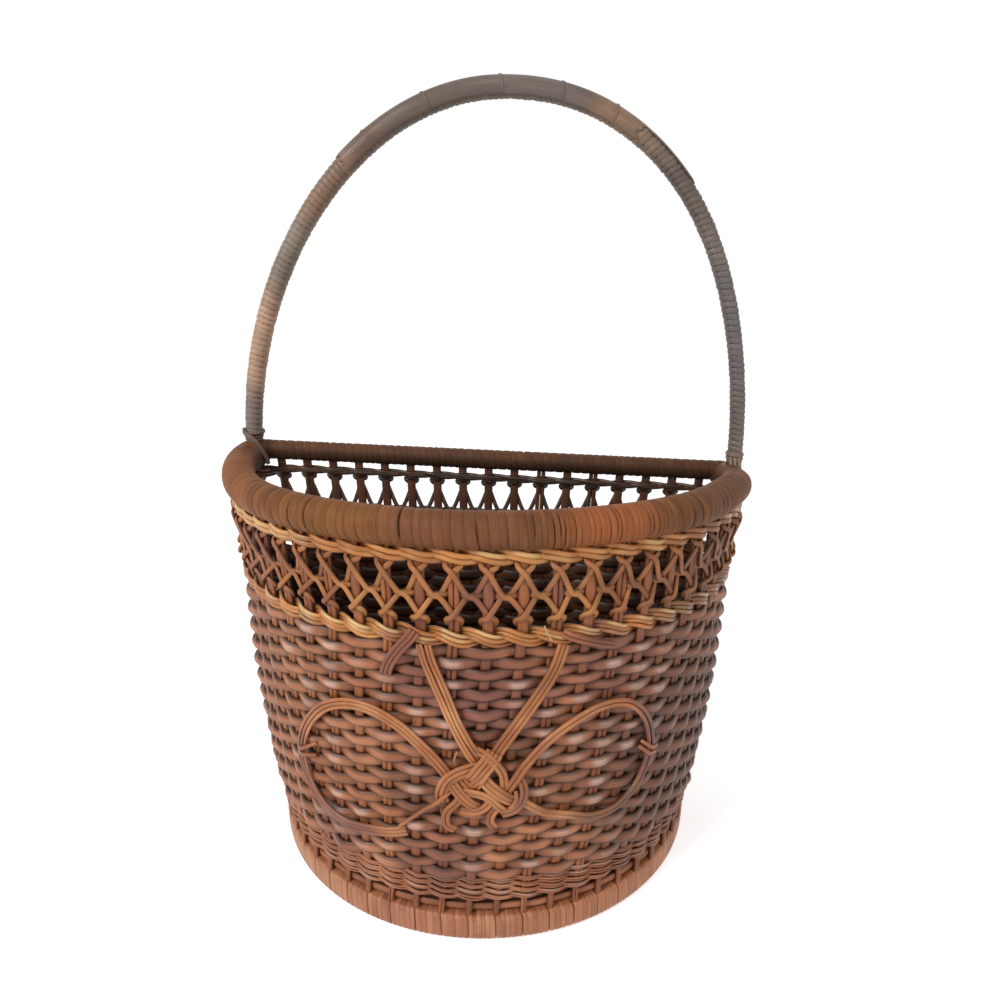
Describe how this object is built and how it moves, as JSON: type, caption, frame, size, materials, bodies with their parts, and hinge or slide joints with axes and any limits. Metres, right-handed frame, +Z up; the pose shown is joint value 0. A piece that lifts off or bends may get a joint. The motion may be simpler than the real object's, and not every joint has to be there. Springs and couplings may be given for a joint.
{
  "type": "wicker storage basket",
  "caption": "Half-round wicker basket with a flat back, openwork caning under a wrapped rim, a tall fixed arch handle, a wrapped foot and a plaited knot on the front.",
  "frame": {"origin": "on the floor, under the middle of the basket's bounding box", "axes": "+Z up along the handle's height, +X to the right, -Y towards the round front, +Y the flat back"},
  "size_m": [0.258, 0.139, 0.3636],
  "materials": {
    "weave": "natural rattan, satin, brown with darker and paler weavers",
    "stake": "round rods, satin brown",
    "strand": "thin round strands, satin",
    "twine": "honey-coloured twined strands, glossy",
    "rim_wrap": "flat strips wound side by side, glossy",
    "foot_wrap": "pale strips wound side by side, glossy",
    "handle_wrap": "weathered grey-brown strips, satin",
    "handle_strip": "smooth split cane, satin",
    "knot": "plaited flat cane, glossy tan",
    "core": "bare round cane, dull"
  },
  "bodies": {
    "root": {"base_panel": "weave", "base_stick_1": "core", "base_stick_2": "core", "base_stick_3": "core", "cross_strand_a": "strand", "cross_strand_b": "strand", "foot_hoop": "core", "foot_rod": "foot_wrap", "foot_wrap": "foot_wrap", "front_stake_01": "stake", "front_stake_02": "stake", "front_stake_03": "stake", "front_stake_04": "stake", "front_stake_05": "stake", "front_stake_06": "stake", "front_stake_07": "stake", "front_stake_08": "stake", "front_stake_09": "stake", "front_stake_10": "stake", "front_stake_11": "stake", "front_stake_12": "stake", "front_stake_13": "stake", "front_stake_14": "stake", "front_stake_15": "stake", "front_stake_16": "stake", "front_stake_17": "stake", "front_stake_18": "stake", "front_stake_19": "stake", "front_stake_20": "stake", "front_stake_21": "stake", "front_stake_22": "stake", "front_stake_23": "stake", "front_stake_24": "stake", "front_stake_25": "stake", "front_stake_26": "stake", "front_stake_27": "stake", "front_stake_28": "stake", "front_stake_29": "stake", "front_stake_30": "stake", "handle_collar_left": "handle_wrap", "handle_collar_right": "handle_wrap", "handle_core": "core", "handle_strip": "handle_strip", "handle_wrap": "handle_wrap", "knot": "knot", "knot_leg_left": "knot", "knot_leg_right": "knot", "knot_loop_left": "knot", "knot_loop_right": "knot", "loop_tie_left": "stake", "loop_tie_right": "stake", "lower_twine": "twine", "mid_strand": "strand", "rim_back_bar": "core", "rim_bow": "core", "rim_wrap": "rim_wrap", "upper_twine": "twine", "woven_body": "weave"}
  },
  "joints": []
}
